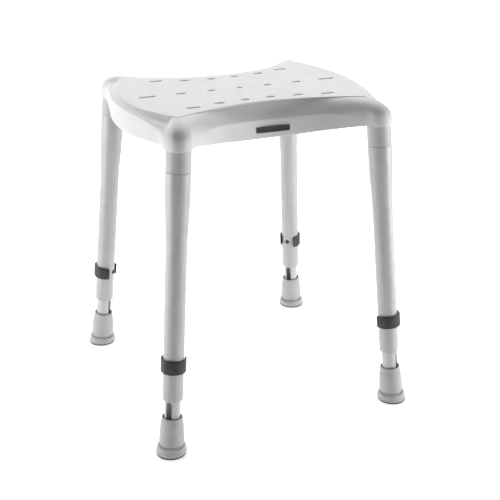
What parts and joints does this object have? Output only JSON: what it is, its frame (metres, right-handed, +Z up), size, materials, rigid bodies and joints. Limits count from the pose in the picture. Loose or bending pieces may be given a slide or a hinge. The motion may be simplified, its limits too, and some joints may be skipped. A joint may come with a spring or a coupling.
{
  "type": "shower stool",
  "caption": "Height-adjustable shower stool with a waisted, slotted plastic seat on splayed telescopic aluminium legs with clips and rubber feet.",
  "frame": {"origin": "on the floor, in the middle between the feet", "axes": "+Z up through the seat, +X along the long side of the seat, -Y towards the front, where the blank plate is"},
  "size_m": [0.392, 0.385, 0.4536],
  "materials": {
    "seat_plastic": "fine satin moulded texture",
    "badge": "satin printed plate",
    "steel": "zinc plated",
    "sleeve_plastic": "satin",
    "anodised_tube": "satin anodised",
    "bush_plastic": "satin",
    "anodised_inner": "satin anodised",
    "clip_plastic": "satin moulded",
    "pin_plastic": "smooth moulded",
    "foot_rubber": "matte moulded",
    "sole_rubber": "matte"
  },
  "bodies": {
    "root": {"seat_shell": "seat_plastic", "badge_plate": "badge", "leg_screws": "steel", "leg_sleeve_fl": "sleeve_plastic", "leg_sleeve_fr": "sleeve_plastic", "leg_sleeve_bl": "sleeve_plastic", "leg_sleeve_br": "sleeve_plastic", "leg_tube_fl": "anodised_tube", "leg_tube_fr": "anodised_tube", "leg_tube_bl": "anodised_tube", "leg_tube_br": "anodised_tube", "guide_bush_fl": "bush_plastic", "guide_bush_fr": "bush_plastic", "guide_bush_bl": "bush_plastic", "guide_bush_br": "bush_plastic"},
    "extension_fl": {"extension_tube_fl": "anodised_inner", "glide_cap_fl": "bush_plastic", "rubber_foot_fl": "foot_rubber", "foot_washer_fl": "steel", "foot_sole_fl": "sole_rubber"},
    "clip_fl": {"height_clip_fl": "clip_plastic", "clip_pin_fl": "pin_plastic"},
    "extension_fr": {"extension_tube_fr": "anodised_inner", "glide_cap_fr": "bush_plastic", "rubber_foot_fr": "foot_rubber", "foot_washer_fr": "steel", "foot_sole_fr": "sole_rubber"},
    "clip_fr": {"height_clip_fr": "clip_plastic", "clip_pin_fr": "pin_plastic"},
    "extension_bl": {"extension_tube_bl": "anodised_inner", "glide_cap_bl": "bush_plastic", "rubber_foot_bl": "foot_rubber", "foot_washer_bl": "steel", "foot_sole_bl": "sole_rubber"},
    "clip_bl": {"height_clip_bl": "clip_plastic", "clip_pin_bl": "pin_plastic"},
    "extension_br": {"extension_tube_br": "anodised_inner", "glide_cap_br": "bush_plastic", "rubber_foot_br": "foot_rubber", "foot_washer_br": "steel", "foot_sole_br": "sole_rubber"},
    "clip_br": {"height_clip_br": "clip_plastic", "clip_pin_br": "pin_plastic"}
  },
  "joints": [
    {"name": "leg_extension_fl", "type": "slide", "parent": "root", "child": "extension_fl", "axis": [-0.0763, -0.0711, -0.9945], "range_m": [-0.025, 0.125]},
    {"name": "clip_pull_fl", "type": "slide", "parent": "root", "child": "clip_fl", "axis": [-0.7276, -0.678, 0.1043], "range_m": [0, 0.045], "deforming": ["height_clip_fl"]},
    {"name": "leg_extension_fr", "type": "slide", "parent": "root", "child": "extension_fr", "axis": [0.0763, -0.0711, -0.9945], "range_m": [-0.025, 0.125]},
    {"name": "clip_pull_fr", "type": "slide", "parent": "root", "child": "clip_fr", "axis": [0.7276, -0.678, 0.1043], "range_m": [0, 0.045], "deforming": ["height_clip_fr"]},
    {"name": "leg_extension_bl", "type": "slide", "parent": "root", "child": "extension_bl", "axis": [-0.0763, 0.0711, -0.9945], "range_m": [-0.025, 0.125]},
    {"name": "clip_pull_bl", "type": "slide", "parent": "root", "child": "clip_bl", "axis": [-0.7276, 0.678, 0.1043], "range_m": [0, 0.045], "deforming": ["height_clip_bl"]},
    {"name": "leg_extension_br", "type": "slide", "parent": "root", "child": "extension_br", "axis": [0.0763, 0.0711, -0.9945], "range_m": [-0.025, 0.125]},
    {"name": "clip_pull_br", "type": "slide", "parent": "root", "child": "clip_br", "axis": [0.7276, 0.678, 0.1043], "range_m": [0, 0.045], "deforming": ["height_clip_br"]}
  ]
}
